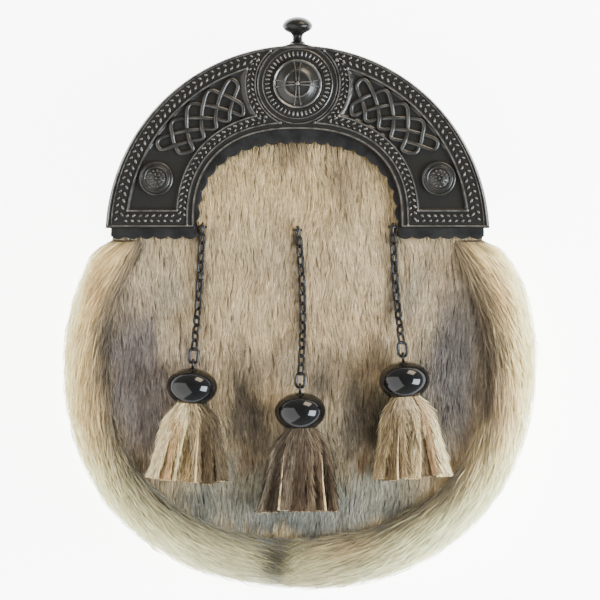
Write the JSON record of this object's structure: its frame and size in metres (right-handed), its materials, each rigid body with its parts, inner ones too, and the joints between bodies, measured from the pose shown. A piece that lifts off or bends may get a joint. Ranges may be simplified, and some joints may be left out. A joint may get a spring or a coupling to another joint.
{
  "type": "sporran pouch",
  "caption": "Full-dress sporran pouch: hide front, long-fur gusset, half-round knotwork cantle with a knob, and fur tassels in black bells on chains, lying on its back.",
  "frame": {"origin": "middle of the footprint on the surface that the pouch lies on", "axes": "+Z out of the pouch's front, +Y up the pouch to the knob, +X to the right as seen from the front"},
  "size_m": [0.1988, 0.2448, 0.0656],
  "materials": {
    "hide": "short mottled grey-fawn pile",
    "long_fur": "long cream and brown-grey fur",
    "tassel_fur": "rolled fur strips with pale skin edges",
    "leather": "black, fine grain, satin",
    "dark_metal": "blackened cast metal, semi-gloss, worn on the high parts",
    "black_enamel": "glossy black"
  },
  "bodies": {
    "root": {"front_panel": "hide", "fur_gusset_left": "long_fur", "fur_gusset_right": "long_fur", "top_gusset": "leather", "back_panel": "leather", "back_flap": "leather", "flap_stud": "dark_metal", "strap_loop_left": "leather", "strap_loop_right": "leather", "cantle": "dark_metal", "knob": "dark_metal", "cantle_backing": "leather", "staple_left": "dark_metal", "staple_centre": "dark_metal", "staple_right": "dark_metal", "chain_left": "dark_metal", "chain_centre": "dark_metal", "chain_right": "dark_metal", "bell_left": "black_enamel", "bell_centre": "black_enamel", "bell_right": "black_enamel", "tassel_left": "tassel_fur", "tassel_centre": "tassel_fur", "tassel_right": "tassel_fur"}
  },
  "joints": []
}
